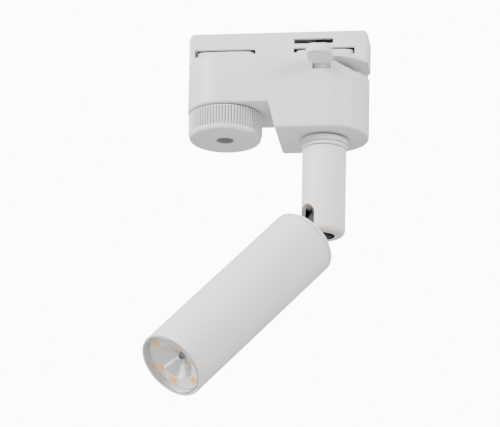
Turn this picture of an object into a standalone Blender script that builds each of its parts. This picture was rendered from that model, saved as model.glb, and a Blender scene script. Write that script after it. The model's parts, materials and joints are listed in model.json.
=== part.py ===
"""Track spotlight: a two-wire track adapter, a swivel stem and a slim tilting LED head.

Metres, +Z up. The origin is the centre of the flat top of the part that slides into the track.
X runs along the track. The stem turns about +Z and the head tilts about the pivot in the stem.
"""

import math

import bmesh
import bpy
from mathutils import Matrix, Vector

MM = 0.001

# Driving dimensions, in millimetres.
GAP = 0.3
HOUSING_WIDTH = 35.0
KNOB_X = -24.8
LOBE_X = 24.3
ROTOR_X = 21.3
SHOULDER_Z = -13.9
LEFT_BOTTOM_Z = -37.7
RIGHT_BOTTOM_Z = -50.7
SLANT_TOP_X = -3.1
SLANT_RUN = 3.2
HOUSING_WALL = 2.0
HOUSING_EDGE = 1.0

NECK_LENGTH = 83.4
NECK_DEPTH = 16.0
NECK_WALL = 1.8
NECK_CORNER = 2.8
NECK_PLAN_CORNER = 1.6
COVER_LENGTH = 76.0

SLOT_TOP_Z = -7.8
SLOT_HEIGHT = 3.7
SLOT_HALF_LENGTH = 14.2
BLADE_SLOT_TOP_Z = -3.3
BLADE_SLOT_HEIGHT = 2.6
BLADE_REACH = 13.8
BLADE_WIDTH = 7.0
BLADE_THICKNESS = 1.2

RECESS_FLOOR_Z = -22.3
DECK_BOTTOM_Z = -24.0
RECESS_CEILING_Z = -16.1
TOOTH_TOP_Z = -18.4
LEVER_TOP_Z = RECESS_CEILING_Z - GAP
LEVER_BOTTOM_Z = -20.7
LEVER_REACH = 34.5
LEVER_WIDTH = 11.6
ARM_WIDTH = 8.0
PADDLE_START = 19.2
ARM_ROOT_REACH = 14.8

ROTOR_RADIUS = 5.8
SHAFT_RADIUS = 4.0
CAM_REACH = 13.3
CAM_HALF_WIDTH = 7.5
CAM_THICKNESS = 2.5
CAM_BOW = 2.4

KNOB_RADIUS = 17.1
KNOB_RIM = 0.4
KNOB_TOP_Z = LEFT_BOTTOM_Z - 0.6
KNOB_BOTTOM_Z = -50.2
KNOB_RIBS = 76
RIB_DEPTH = 0.6
KNOB_RECESS_RADIUS = 4.0

BUSHING_RADIUS = 11.0
BUSHING_BOTTOM_Z = -54.1
COLLAR_RADIUS = 10.4
COLLAR_BOTTOM_Z = -56.0
STEM_RADIUS = 10.1
STEM_BORE = 8.2
STEM_TOP_Z = COLLAR_BOTTOM_Z - GAP
STEM_BOTTOM_Z = -97.7
STEM_FOOT_RADIUS = 7.1
STEM_LIP_BORE = 6.5
STEM_LIP_HEIGHT = 0.7
STEM_SLOT_WIDTH = 10.0
STEM_SLOT_TOP_Z = -84.2
NIPPLE_RADIUS = 5.0
NIPPLE_BORE = 3.4

PIVOT_Z = -91.7
PAN_DEG = 42.0
TILT_DEG = 44.0
KNUCKLE_RADIUS = 7.0
KNUCKLE_WIDTH = 6.0
PIVOT_SCREW_RADIUS = 1.5
CHEEK_THICKNESS = 2.0
CHEEK_RADIUS = 4.9
CHEEK_NECK_HALF = 2.5

HEAD_RADIUS = 16.0
HEAD_BORE = 15.0
HEAD_START = 16.0
HEAD_LENGTH = 100.0
CAP_THICKNESS = 1.8
CAP_SPIGOT_RADIUS = HEAD_BORE - GAP
CHIP_ANGLES = (52.0, 95.0, 164.0, 232.0, 281.0, 344.0)
CHIP_RING = 11.3
CHIP_SIZE = 3.0
CHIP_THICKNESS = 0.65
BOARD_BACK = 95.7
BOARD_THICKNESS = 1.2
BOWL_RADIUS = 8.4
BOWL_DEPTH = 6.6
LENS_FRONT = 99.0
LENS_THICKNESS = 1.0

ROUND = 48
SMALL_ROUND = 24


def clear_scene():
    for old in list(bpy.data.objects):
        bpy.data.objects.remove(old, do_unlink=True)


def new_collection(name):
    group = bpy.data.collections.new(name)
    bpy.context.scene.collection.children.link(group)
    return group


clear_scene()
PARTS = new_collection("track_spotlight")
CUTTERS = new_collection("cutters")


def make_material(name, colour, roughness, metallic=0.0):
    material = bpy.data.materials.new(name)
    material.use_nodes = True
    shader = material.node_tree.nodes["Principled BSDF"]
    shader.inputs["Base Color"].default_value = (*colour, 1.0)
    shader.inputs["Roughness"].default_value = roughness
    shader.inputs["Metallic"].default_value = metallic
    return material


ADAPTER_WHITE = make_material("adapter_white", (0.78, 0.79, 0.80), 0.45)
LAMP_WHITE = make_material("lamp_white", (0.80, 0.78, 0.76), 0.55)
CAM_WHITE = make_material("cam_white", (0.85, 0.85, 0.83), 0.4)
BRASS = make_material("brass", (0.80, 0.62, 0.30), 0.3, 1.0)
COPPER = make_material("contact_copper", (0.85, 0.50, 0.33), 0.3, 1.0)
STEEL = make_material("zinc_steel", (0.62, 0.63, 0.65), 0.3, 1.0)
CHROME = make_material("chrome", (0.80, 0.81, 0.83), 0.1, 1.0)
ALUMINIUM = make_material("aluminium", (0.75, 0.76, 0.77), 0.35, 1.0)
BOARD_GREEN = make_material("board_green", (0.05, 0.22, 0.10), 0.5)
BOARD_WHITE = make_material("board_white", (0.86, 0.86, 0.84), 0.4)
DARK_PLASTIC = make_material("dark_plastic", (0.04, 0.04, 0.045), 0.5)
PHOSPHOR = make_material("phosphor", (0.95, 0.50, 0.08), 0.4)
LENS_CLEAR = make_material("lens_clear", (0.92, 0.94, 0.95), 0.05)


def link(name, mesh, material, cutter=False):
    """An object for the mesh, in the collection of the parts or of the cutters."""
    thing = bpy.data.objects.new(name, mesh)
    if cutter:
        CUTTERS.objects.link(thing)
        thing.hide_render = True
        thing.display_type = "WIRE"
    else:
        PARTS.objects.link(thing)
        mesh.materials.append(material)
    return thing


def smooth(thing, angle_deg=35.0):
    thing.data.shade_smooth()
    thing.data.set_sharp_from_angle(angle=math.radians(angle_deg))


def finish_mesh(name, work):
    bmesh.ops.recalc_face_normals(work, faces=work.faces)
    mesh = bpy.data.meshes.new(name)
    work.to_mesh(mesh)
    work.free()
    return mesh


def block(name, low, high, material=None, cutter=False, edge=0.0):
    """A box between two corners in millimetres, with optional rounded edges."""
    work = bmesh.new()
    bmesh.ops.create_cube(work, size=1.0)
    size = [(b - a) * MM for a, b in zip(low, high)]
    middle = [(b + a) * MM / 2 for a, b in zip(low, high)]
    bmesh.ops.scale(work, vec=size, verts=work.verts)
    bmesh.ops.translate(work, vec=middle, verts=work.verts)
    if edge:
        bmesh.ops.bevel(
            work, geom=work.edges[:], offset=edge * MM, segments=2, profile=0.5, affect="EDGES"
        )
    return link(name, finish_mesh(name, work), material, cutter)


def rod(name, radius, start, end, material=None, cutter=False, segments=SMALL_ROUND):
    """A cylinder between two points in millimetres."""
    start = Vector(start) * MM
    end = Vector(end) * MM
    work = bmesh.new()
    bmesh.ops.create_cone(
        work,
        cap_ends=True,
        segments=segments,
        radius1=radius * MM,
        radius2=radius * MM,
        depth=(end - start).length,
    )
    turn = Vector((0, 0, 1)).rotation_difference(end - start).to_matrix().to_4x4()
    bmesh.ops.transform(
        work, matrix=Matrix.Translation((start + end) / 2) @ turn, verts=work.verts
    )
    thing = link(name, finish_mesh(name, work), material, cutter)
    smooth(thing)
    return thing


def prism(name, outline, low, high, material=None, cutter=False, axis="Z"):
    """A flat outline pushed from low to high along Z, or an X-Z outline pushed along Y."""
    work = bmesh.new()
    if axis == "Z":
        corners = [work.verts.new((u * MM, v * MM, low * MM)) for u, v in outline]
        step = (0, 0, (high - low) * MM)
    else:
        corners = [work.verts.new((u * MM, low * MM, v * MM)) for u, v in outline]
        step = (0, (high - low) * MM, 0)
    face = work.faces.new(corners)
    pushed = bmesh.ops.extrude_face_region(work, geom=[face])
    moved = [item for item in pushed["geom"] if isinstance(item, bmesh.types.BMVert)]
    bmesh.ops.translate(work, vec=step, verts=moved)
    thing = link(name, finish_mesh(name, work), material, cutter)
    smooth(thing)
    return thing


def turned(name, profile, material=None, cutter=False, closed=False, segments=ROUND):
    """A profile of (radius, height) points turned about Z by a Screw modifier."""
    points = [(radius * MM, 0.0, height * MM) for radius, height in profile]
    lines = [(i, i + 1) for i in range(len(points) - 1)]
    if closed:
        lines.append((len(points) - 1, 0))
    mesh = bpy.data.meshes.new(name)
    mesh.from_pydata(points, lines, [])
    thing = link(name, mesh, material, cutter)
    screw = thing.modifiers.new("turn", "SCREW")
    screw.steps = segments
    screw.render_steps = segments
    screw.use_merge_vertices = True
    screw.merge_threshold = 0.00001
    screw.use_smooth_shade = True
    return thing


def ring(name, inner, outer, low, high, material=None, segments=SMALL_ROUND):
    profile = [(outer, high), (outer, low), (inner, low), (inner, high)]
    return turned(name, profile, material, closed=True, segments=segments)


def hexagon(radius):
    return [
        (radius * math.cos(math.radians(60 * i)), radius * math.sin(math.radians(60 * i)))
        for i in range(6)
    ]


def hex_nut(name, bore, radius, low, high, material):
    nut = prism(name, hexagon(radius), low, high, material)
    nut.data.shade_flat()
    cut(nut, rod(f"{name}_bore", bore, (0, 0, low - 1), (0, 0, high + 1), cutter=True))
    return nut


def cut(thing, cutter, operation="DIFFERENCE"):
    boolean = thing.modifiers.new(cutter.name, "BOOLEAN")
    boolean.operation = operation
    boolean.solver = "EXACT"
    boolean.object = cutter


def join(thing, other):
    cut(thing, other, "UNION")


def attach(thing, parent):
    """Hangs a piece, and the cutters that shape it, on the empty of its moving body."""
    thing.parent = parent
    for modifier in thing.modifiers:
        if modifier.type == "BOOLEAN":
            attach(modifier.object, parent)


def bake(thing):
    """Turns the modifiers into plain mesh, so that another piece can use the result."""
    bpy.context.view_layer.update()
    seen = thing.evaluated_get(bpy.context.evaluated_depsgraph_get())
    mesh = bpy.data.meshes.new_from_object(seen)
    thing.modifiers.clear()
    thing.data = mesh


def bevel(thing, width, segments=2, angle_deg=40.0):
    soft = thing.modifiers.new("edges", "BEVEL")
    soft.width = width * MM
    soft.segments = segments
    soft.limit_method = "ANGLE"
    soft.angle_limit = math.radians(angle_deg)
    soft.use_clamp_overlap = True


def pose_empty(name, x, z, pan=0.0, tilt=0.0, parent=None):
    """An empty on a joint's axis, which carries the pieces of that moving body."""
    empty = bpy.data.objects.new(name, None)
    PARTS.objects.link(empty)
    empty.location = (x * MM, 0.0, z * MM)
    empty.rotation_euler = (0.0, math.radians(tilt), math.radians(pan))
    if parent:
        empty.parent = parent
    return empty


def arc(centre_x, centre_y, radius, start_deg, end_deg, count):
    """Points on an arc, both ends included."""
    step = (end_deg - start_deg) / (count - 1)
    return [
        (
            centre_x + radius * math.cos(math.radians(start_deg + i * step)),
            centre_y + radius * math.sin(math.radians(start_deg + i * step)),
        )
        for i in range(count)
    ]


def lobed_outline(inset=0.0):
    """The housing's plan: two round ends joined by straight sides."""
    radius = HOUSING_WIDTH / 2 - inset
    right_end = arc(LOBE_X, 0, radius, -90, 90, 25)
    left_end = arc(KNOB_X, 0, radius, 90, 270, 25)
    return right_end + left_end


def rounded_rectangle(low_x, high_x, low_y, high_y, corner, count=4):
    return (
        arc(high_x - corner, high_y - corner, corner, 0, 90, count)
        + arc(low_x + corner, high_y - corner, corner, 90, 180, count)
        + arc(low_x + corner, low_y + corner, corner, 180, 270, count)
        + arc(high_x - corner, low_y + corner, corner, 270, 360, count)
    )


def knob_space(name, shift=0.0):
    """The space below the left lobe, up to the slanted wall, as a cutter."""
    drop = 20.0
    run = SLANT_RUN * drop / (LEFT_BOTTOM_Z - RIGHT_BOTTOM_Z)
    floor = LEFT_BOTTOM_Z + shift
    outline = [
        (-60.0, floor),
        (SLANT_TOP_X + shift, floor),
        (SLANT_TOP_X + shift + run, floor - drop),
        (-60.0, floor - drop),
    ]
    return prism(name, outline, -30, 30, cutter=True, axis="Y")


def make_housing():
    """The moulded body: lobed box, neck, slots, lever recess and its stop tooth."""
    housing = prism(
        "adapter_housing", lobed_outline(), RIGHT_BOTTOM_Z, SHOULDER_Z, ADAPTER_WHITE
    )
    cut(housing, knob_space("knob_space"))
    bevel(housing, HOUSING_EDGE)
    bake(housing)

    half_length = NECK_LENGTH / 2
    half_depth = NECK_DEPTH / 2
    neck_side = rounded_rectangle(-half_length, half_length, -30.0, 0.0, NECK_CORNER, 5)
    neck = prism("neck_profile", neck_side, -half_depth, half_depth, cutter=True, axis="Y")
    neck_plan = rounded_rectangle(
        -half_length, half_length, -half_depth, half_depth, NECK_PLAN_CORNER, 5
    )
    plan = prism("neck_plan", neck_plan, SHOULDER_Z - HOUSING_WALL, 1.0, cutter=True)
    cut(neck, plan, "INTERSECT")
    bake(neck)
    join(housing, neck)

    room = prism(
        "body_room",
        lobed_outline(HOUSING_WALL),
        RIGHT_BOTTOM_Z + HOUSING_WALL,
        DECK_BOTTOM_Z,
        cutter=True,
    )
    cut(room, knob_space("room_step", HOUSING_WALL))
    bake(room)
    cut(housing, room)

    half_room = COVER_LENGTH / 2
    inner = half_depth - NECK_WALL
    cut(
        housing,
        block(
            "neck_room",
            (-half_room, -inner, RECESS_CEILING_Z - 1.0),
            (half_room, inner, 1.0),
            cutter=True,
        ),
    )
    for name, x in (("lock_slot", KNOB_X), ("cam_slot", ROTOR_X)):
        low = (x - SLOT_HALF_LENGTH, -20.0, SLOT_TOP_Z - SLOT_HEIGHT)
        high = (x + SLOT_HALF_LENGTH, 20.0, SLOT_TOP_Z)
        cut(housing, block(name, low, high, cutter=True))
    near = BLADE_WIDTH / 2 + 0.6
    for name, side in (("front_blade_slot", -1), ("back_blade_slot", 1)):
        ends = sorted((ROTOR_X + side * (BLADE_REACH + GAP), ROTOR_X - side * near))
        depths = sorted((side * 2.0, side * 20.0))
        low = (ends[0], depths[0], BLADE_SLOT_TOP_Z - BLADE_SLOT_HEIGHT)
        high = (ends[1], depths[1], BLADE_SLOT_TOP_Z)
        cut(housing, block(name, low, high, cutter=True))

    stop = ROTOR_X - ARM_WIDTH / 2 - 0.35
    notch = ROTOR_X + ARM_WIDTH / 2 - 0.2 + 0.35
    outline = [
        (stop, RECESS_FLOOR_Z),
        (notch, RECESS_FLOOR_Z),
        (notch, TOOTH_TOP_Z),
        (notch + 1.8, TOOTH_TOP_Z),
        (ROTOR_X + 12.6, RECESS_FLOOR_Z),
        (60.0, RECESS_FLOOR_Z),
        (60.0, RECESS_CEILING_Z),
        (stop, RECESS_CEILING_Z),
    ]
    far_side = LEVER_WIDTH / 2 + 0.35
    cut(housing, prism("lever_recess", outline, -30.0, far_side, cutter=True, axis="Y"))

    for name, x, radius, low, high in (
        ("shaft_hole", KNOB_X, SHAFT_RADIUS + GAP, LEFT_BOTTOM_Z - 1, LEFT_BOTTOM_Z + 3),
        ("stem_hole", ROTOR_X, 7.0, RIGHT_BOTTOM_Z - 1, RIGHT_BOTTOM_Z + 3),
        ("shaft_well", KNOB_X, 6.1, DECK_BOTTOM_Z - 1, RECESS_CEILING_Z + 1),
        ("rotor_well", ROTOR_X, 10.4, DECK_BOTTOM_Z - 1, RECESS_CEILING_Z),
        ("root_well", ROTOR_X, ARM_ROOT_REACH + 0.9, RECESS_FLOOR_Z, RECESS_CEILING_Z),
    ):
        cut(housing, rod(name, radius, (x, 0, low), (x, 0, high), cutter=True, segments=ROUND))
    bake(housing)
    smooth(housing)
    return housing


def make_neck_cover():
    """The strip that closes the top of the neck, flush with its rim."""
    half_length = COVER_LENGTH / 2 - GAP
    half_depth = NECK_DEPTH / 2 - NECK_WALL - GAP
    return block(
        "neck_cover",
        (-half_length, -half_depth, -1.8),
        (half_length, half_depth, 0.0),
        ADAPTER_WHITE,
    )


def make_bearing():
    """The bracket inside the right lobe, which carries the foot of the contact rotor."""
    plate = block("rotor_bearing", (8.0, -5.9, -31.5), (36.5, 5.9, -28.7), DARK_PLASTIC)
    for side, x in (("left", 8.0), ("right", 34.0)):
        leg = block(f"bearing_leg_{side}", (x, -5.9, -48.4), (x + 2.5, 5.9, -30.0), cutter=True)
        join(plate, leg)
    hole = rod("bearing_hole", 4.3, (ROTOR_X, 0, -33), (ROTOR_X, 0, -27), cutter=True)
    cut(plate, hole)
    return plate


def make_terminal(name, side):
    """A folded brass terminal that feeds one contact blade through the rotor."""
    low_x, high_x = sorted((ROTOR_X + side * 6.5, ROTOR_X + side * 12.0))
    base = block(name, (low_x, -2.5, -28.4), (high_x, 2.5, -27.6), BRASS)
    low_x, high_x = sorted((ROTOR_X + side * 6.5, ROTOR_X + side * 7.3))
    leaf = block(f"{name}_leaf", (low_x, -2.5, -27.9), (high_x, 2.5, -22.9), cutter=True)
    join(base, leaf)
    return base


def pan_head_screw(name, x, y, head_low, shank_top, material=STEEL):
    """A screw that enters from below, its head between head_low and head_low + 1.4."""
    head = rod(name, 2.2, (x, y, head_low), (x, y, head_low + 1.4), material)
    shank = rod(f"{name}_shank", 1.2, (x, y, head_low + 1.0), (x, y, shank_top), cutter=True)
    join(head, shank)
    slot = block(
        f"{name}_slot", (x - 3, y - 0.3, head_low - 1), (x + 3, y + 0.3, head_low + 0.6), cutter=True
    )
    cut(head, slot)
    return head


def cam_outline(reach, half_width, count=11):
    """A long plate with bowed sides and round ends, centred on its shaft."""
    end_half = half_width - CAM_BOW
    corner = 1.2
    bow = [
        (
            -reach + corner + (2 * (reach - corner)) * i / (count - 1),
            half_width - CAM_BOW * (2 * i / (count - 1) - 1) ** 4,
        )
        for i in range(count)
    ]
    tip = [(reach - 0.3, end_half * 0.6), (reach, 0.0), (reach - 0.3, -end_half * 0.6)]
    outline = bow + tip
    outline += list(reversed([(x, -y) for x, y in bow]))
    outline += [(-x, -y) for x, y in tip]
    return outline


def make_cam(name, bore, parent):
    low = SLOT_TOP_Z - SLOT_HEIGHT + 0.35
    cam = prism(name, cam_outline(CAM_REACH, CAM_HALF_WIDTH), low, low + CAM_THICKNESS, CAM_WHITE)
    cut(cam, rod(f"{name}_bore", bore, (0, 0, low - 1), (0, 0, low + 5), cutter=True))
    attach(cam, parent)
    return cam


def make_knob(parent):
    """The ribbed hand wheel under the left lobe."""
    work = bmesh.new()
    bmesh.ops.create_cone(
        work,
        cap_ends=True,
        segments=KNOB_RIBS * 2,
        radius1=KNOB_RADIUS * MM,
        radius2=KNOB_RADIUS * MM,
        depth=(KNOB_TOP_Z - KNOB_BOTTOM_Z - 1.6) * MM,
    )
    middle = (KNOB_TOP_Z + KNOB_BOTTOM_Z + 1.6) / 2
    bmesh.ops.translate(work, vec=(0, 0, middle * MM), verts=work.verts)
    for vert in work.verts:
        turn = math.atan2(vert.co.y, vert.co.x) / (2 * math.pi) * KNOB_RIBS * 2
        if round(turn) % 2:
            vert.co.xy *= 1.0 - RIB_DEPTH / KNOB_RADIUS
    knob = link("lock_knob", finish_mesh("lock_knob", work), ADAPTER_WHITE)
    rim = KNOB_RADIUS - KNOB_RIM
    base = turned(
        "knob_base",
        [
            (0.0, KNOB_BOTTOM_Z + 2.4),
            (rim, KNOB_BOTTOM_Z + 2.4),
            (rim, KNOB_BOTTOM_Z + 1.4),
            (rim - 0.4, KNOB_BOTTOM_Z + 0.5),
            (rim - 1.4, KNOB_BOTTOM_Z),
            (0.0, KNOB_BOTTOM_Z),
        ],
        cutter=True,
    )
    join(knob, base)
    web_top = KNOB_BOTTOM_Z + 7.2
    web_bottom = KNOB_BOTTOM_Z + 5.2
    for name, radius, low, high in (
        ("knob_socket", SHAFT_RADIUS + GAP, web_top, KNOB_TOP_Z + 1),
        ("knob_recess", KNOB_RECESS_RADIUS, KNOB_BOTTOM_Z - 1, web_bottom),
        ("knob_screw_hole", 1.5, web_bottom - 1, web_top + 1),
    ):
        cut(knob, rod(name, radius, (0, 0, low), (0, 0, high), cutter=True))
    attach(knob, parent)
    return web_top, web_bottom


def make_lock_shaft(parent, web_top):
    """The stepped shaft from the knob up to the lock cam."""
    foot = web_top + GAP
    shoulder = LEFT_BOTTOM_Z + HOUSING_WALL + 1.4
    cam_seat = SLOT_TOP_Z - SLOT_HEIGHT + 0.05
    profile = [
        (0.0, SLOT_TOP_Z - 0.5),
        (SHAFT_RADIUS - 0.4, SLOT_TOP_Z - 0.5),
        (SHAFT_RADIUS - 0.4, cam_seat),
        (5.6, cam_seat),
        (5.6, cam_seat - 2.0),
        (SHAFT_RADIUS, cam_seat - 2.5),
        (SHAFT_RADIUS, shoulder + 2.0),
        (7.0, shoulder + 1.6),
        (7.0, shoulder),
        (SHAFT_RADIUS, shoulder),
        (SHAFT_RADIUS, foot),
        (0.0, foot),
    ]
    shaft = turned("lock_shaft", profile, CAM_WHITE, segments=SMALL_ROUND)
    cut(shaft, rod("shaft_pilot", 1.5, (0, 0, foot - 1), (0, 0, foot + 7), cutter=True))
    attach(shaft, parent)
    washer_low = LEFT_BOTTOM_Z + HOUSING_WALL + GAP
    washer = ring(
        "lock_washer", SHAFT_RADIUS + GAP, 8.0, washer_low, shoulder - GAP, STEEL
    )
    attach(washer, parent)


def make_lock(parent):
    web_top, web_bottom = make_knob(parent)
    make_lock_shaft(parent, web_top)
    make_cam("lock_cam", SHAFT_RADIUS - 0.1, parent)
    head_low = web_bottom - GAP - 1.4
    screw = pan_head_screw("knob_screw", 0, 0, head_low, web_top + 5.0)
    attach(screw, parent)


def make_rotor(parent):
    """The insulating barrel that swings the contact blades and the right-hand cam."""
    cam_seat = SLOT_TOP_Z - SLOT_HEIGHT + 0.05
    profile = [
        (0.0, -2.2),
        (ROTOR_RADIUS - 1.0, -2.2),
        (ROTOR_RADIUS - 1.0, BLADE_SLOT_TOP_Z - BLADE_SLOT_HEIGHT - 0.3),
        (ROTOR_RADIUS - 1.0, cam_seat),
        (ROTOR_RADIUS, cam_seat),
        (ROTOR_RADIUS, LEVER_TOP_Z - 2.0),
        (8.0, LEVER_TOP_Z - 2.0),
        (8.0, LEVER_TOP_Z - 4.4),
        (ROTOR_RADIUS, LEVER_TOP_Z - 5.0),
        (ROTOR_RADIUS, -28.4),
        (SHAFT_RADIUS, -28.4),
        (SHAFT_RADIUS, -33.5),
        (0.0, -33.5),
    ]
    rotor = turned("contact_rotor", profile, CAM_WHITE, segments=SMALL_ROUND)
    attach(rotor, parent)
    make_cam("rotor_cam", ROTOR_RADIUS - 0.7, parent)
    blade_top = BLADE_SLOT_TOP_Z - 0.7
    for name, side in (("live_blade", -1), ("neutral_blade", 1)):
        ends = sorted((side * (ROTOR_RADIUS - 0.7), side * BLADE_REACH))
        half = BLADE_WIDTH / 2
        outline = rounded_rectangle(ends[0], ends[1], -half, half, 1.2, 3)
        blade = prism(name, outline, blade_top - BLADE_THICKNESS, blade_top, COPPER)
        attach(blade, parent)


def make_lever(parent):
    """The finger lever: a ring round the rotor, a thin arm and a thick paddle."""
    half_arm = ARM_WIDTH / 2
    half_paddle = LEVER_WIDTH / 2
    arm_bottom = LEVER_TOP_Z - 1.7
    outline = rounded_rectangle(
        -half_paddle, half_paddle, -LEVER_REACH, -PADDLE_START, 3.4, 6
    )
    lever = prism("contact_lever", outline, LEVER_BOTTOM_Z, LEVER_TOP_Z, ADAPTER_WHITE)
    bevel(lever, 0.5, 2)
    bake(lever)
    arm = block(
        "lever_arm",
        (-half_arm, -PADDLE_START - 4.0, arm_bottom),
        (half_arm, -8.0, LEVER_TOP_Z - 0.05),
        cutter=True,
    )
    join(lever, arm)
    root = block(
        "lever_root",
        (-half_arm, -ARM_ROOT_REACH, LEVER_BOTTOM_Z),
        (half_arm, -8.6, LEVER_TOP_Z - 0.1),
        cutter=True,
    )
    join(lever, root)
    hub = rod(
        "lever_hub", 9.6, (0, 0, arm_bottom), (0, 0, LEVER_TOP_Z), cutter=True, segments=ROUND
    )
    join(lever, hub)
    hole = rod(
        "lever_hole", ROTOR_RADIUS + GAP, (0, 0, arm_bottom - 1), (0, 0, LEVER_TOP_Z + 1), cutter=True
    )
    cut(lever, hole)
    attach(lever, parent)
    smooth(lever)


def make_bushing():
    """The plastic bushing in the floor of the right lobe, in which the stem turns."""
    seat = RIGHT_BOTTOM_Z - GAP
    profile = [
        (6.7, RIGHT_BOTTOM_Z + HOUSING_WALL + 0.6),
        (6.7, seat),
        (BUSHING_RADIUS, seat),
        (BUSHING_RADIUS, BUSHING_BOTTOM_Z + 0.5),
        (BUSHING_RADIUS - 0.5, BUSHING_BOTTOM_Z),
        (NIPPLE_RADIUS + GAP, BUSHING_BOTTOM_Z),
        (NIPPLE_RADIUS + GAP, RIGHT_BOTTOM_Z + HOUSING_WALL + 0.6),
    ]
    bushing = turned("swivel_bushing", profile, ADAPTER_WHITE, closed=True)
    bushing.location.x = ROTOR_X * MM


def make_stem(parent):
    """The swivel stem: collar, hollow nipple, nuts and the slotted tube."""
    collar = turned(
        "stem_collar",
        [
            (COLLAR_RADIUS - 0.3, BUSHING_BOTTOM_Z - GAP),
            (COLLAR_RADIUS, BUSHING_BOTTOM_Z - GAP - 0.3),
            (COLLAR_RADIUS, COLLAR_BOTTOM_Z),
            (NIPPLE_RADIUS + GAP, COLLAR_BOTTOM_Z),
            (NIPPLE_RADIUS + GAP, BUSHING_BOTTOM_Z - GAP),
        ],
        LAMP_WHITE,
        closed=True,
    )
    attach(collar, parent)
    nipple = ring("swivel_nipple", NIPPLE_BORE, NIPPLE_RADIUS, -78.0, -42.0, STEEL)
    attach(nipple, parent)
    washer = ring("swivel_washer", NIPPLE_RADIUS + GAP, 8.4, -47.4, -46.6, STEEL)
    attach(washer, parent)
    nut = hex_nut("swivel_nut", NIPPLE_RADIUS + GAP, 8.0, -46.3, -43.0, STEEL)
    attach(nut, parent)
    lower_nut = hex_nut("stem_nut", NIPPLE_RADIUS + GAP, 7.8, -62.5, -59.2, STEEL)
    attach(lower_nut, parent)

    tube = turned(
        "stem_tube",
        [
            (STEM_RADIUS - 0.4, STEM_TOP_Z),
            (STEM_RADIUS, STEM_TOP_Z - 0.4),
            (STEM_RADIUS, STEM_BOTTOM_Z + 3.0),
            (STEM_RADIUS - 0.5, STEM_BOTTOM_Z + 1.5),
            (STEM_RADIUS - 1.5, STEM_BOTTOM_Z + 0.5),
            (STEM_FOOT_RADIUS, STEM_BOTTOM_Z),
            (STEM_LIP_BORE, STEM_BOTTOM_Z),
            (STEM_LIP_BORE, STEM_BOTTOM_Z + STEM_LIP_HEIGHT),
            (STEM_BORE, STEM_BOTTOM_Z + 2.4),
            (STEM_BORE, STEM_TOP_Z - 2.6),
            (NIPPLE_RADIUS + GAP, STEM_TOP_Z - 2.6),
            (NIPPLE_RADIUS + GAP, STEM_TOP_Z),
        ],
        LAMP_WHITE,
        closed=True,
    )
    half = STEM_SLOT_WIDTH / 2
    top = STEM_SLOT_TOP_Z
    slot = block("slot_side", (-20.0, -half, STEM_BOTTOM_Z - 5), (0.0, half, top - half), cutter=True)
    slot_end = rod("slot_end", half, (-20.0, 0, top - half), (0.0, 0, top - half), cutter=True)
    join(slot, slot_end)
    bake(slot)
    cut(tube, slot)
    attach(tube, parent)


def make_fork(parent):
    """The yoke inside the tube: a plug on the nipple and two cheeks for the pivot."""
    plug_bottom = PIVOT_Z + KNUCKLE_RADIUS + 0.4
    fork = rod("pivot_fork", 7.9, (0, 0, plug_bottom), (0, 0, -71.0), STEEL, segments=ROUND)
    inner = KNUCKLE_WIDTH / 2 + GAP
    for side in (-1, 1):
        ends = sorted((side * inner, side * (inner + CHEEK_THICKNESS)))
        letter = "ab"[side > 0]
        neck = block(
            f"cheek_neck_{letter}",
            (-CHEEK_NECK_HALF, ends[0], PIVOT_Z),
            (CHEEK_NECK_HALF, ends[1], plug_bottom + 1.0),
            cutter=True,
        )
        join(fork, neck)
        eye = rod(
            f"cheek_eye_{letter}",
            CHEEK_RADIUS,
            (0, ends[0] + 0.02, PIVOT_Z),
            (0, ends[1] - 0.02, PIVOT_Z),
            cutter=True,
        )
        join(fork, eye)
    bore = rod("fork_bore", NIPPLE_RADIUS + GAP, (0, 0, -78.4), (0, 0, -70.0), cutter=True)
    cut(fork, bore)
    wire_way = rod("fork_wire_way", 1.6, (4.6, 0, -90.0), (4.6, 0, -70.0), cutter=True)
    cut(fork, wire_way)
    pin_hole = rod(
        "fork_pin_hole", PIVOT_SCREW_RADIUS + GAP, (0, -9, PIVOT_Z), (0, 9, PIVOT_Z), cutter=True
    )
    cut(fork, pin_hole)
    attach(fork, parent)

    outer = inner + CHEEK_THICKNESS + GAP
    screw = rod("pivot_screw", 2.7, (0, outer, PIVOT_Z), (0, outer + 1.5, PIVOT_Z), STEEL)
    shank = rod(
        "pivot_screw_shank",
        PIVOT_SCREW_RADIUS,
        (0, -outer - 1.6, PIVOT_Z),
        (0, outer + 0.5, PIVOT_Z),
        cutter=True,
    )
    join(screw, shank)
    socket = rod(
        "pivot_screw_socket", 1.2, (0, outer + 0.7, PIVOT_Z), (0, outer + 3, PIVOT_Z), cutter=True
    )
    cut(screw, socket)
    attach(screw, parent)
    nut = rod("pivot_nut", 2.7, (0, -outer - 1.5, PIVOT_Z), (0, -outer, PIVOT_Z), STEEL, segments=6)
    nut.data.shade_flat()
    hole = rod(
        "pivot_nut_hole",
        PIVOT_SCREW_RADIUS + 0.15,
        (0, -outer - 3, PIVOT_Z),
        (0, -outer + 1, PIVOT_Z),
        cutter=True,
    )
    cut(nut, hole)
    attach(nut, parent)


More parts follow.
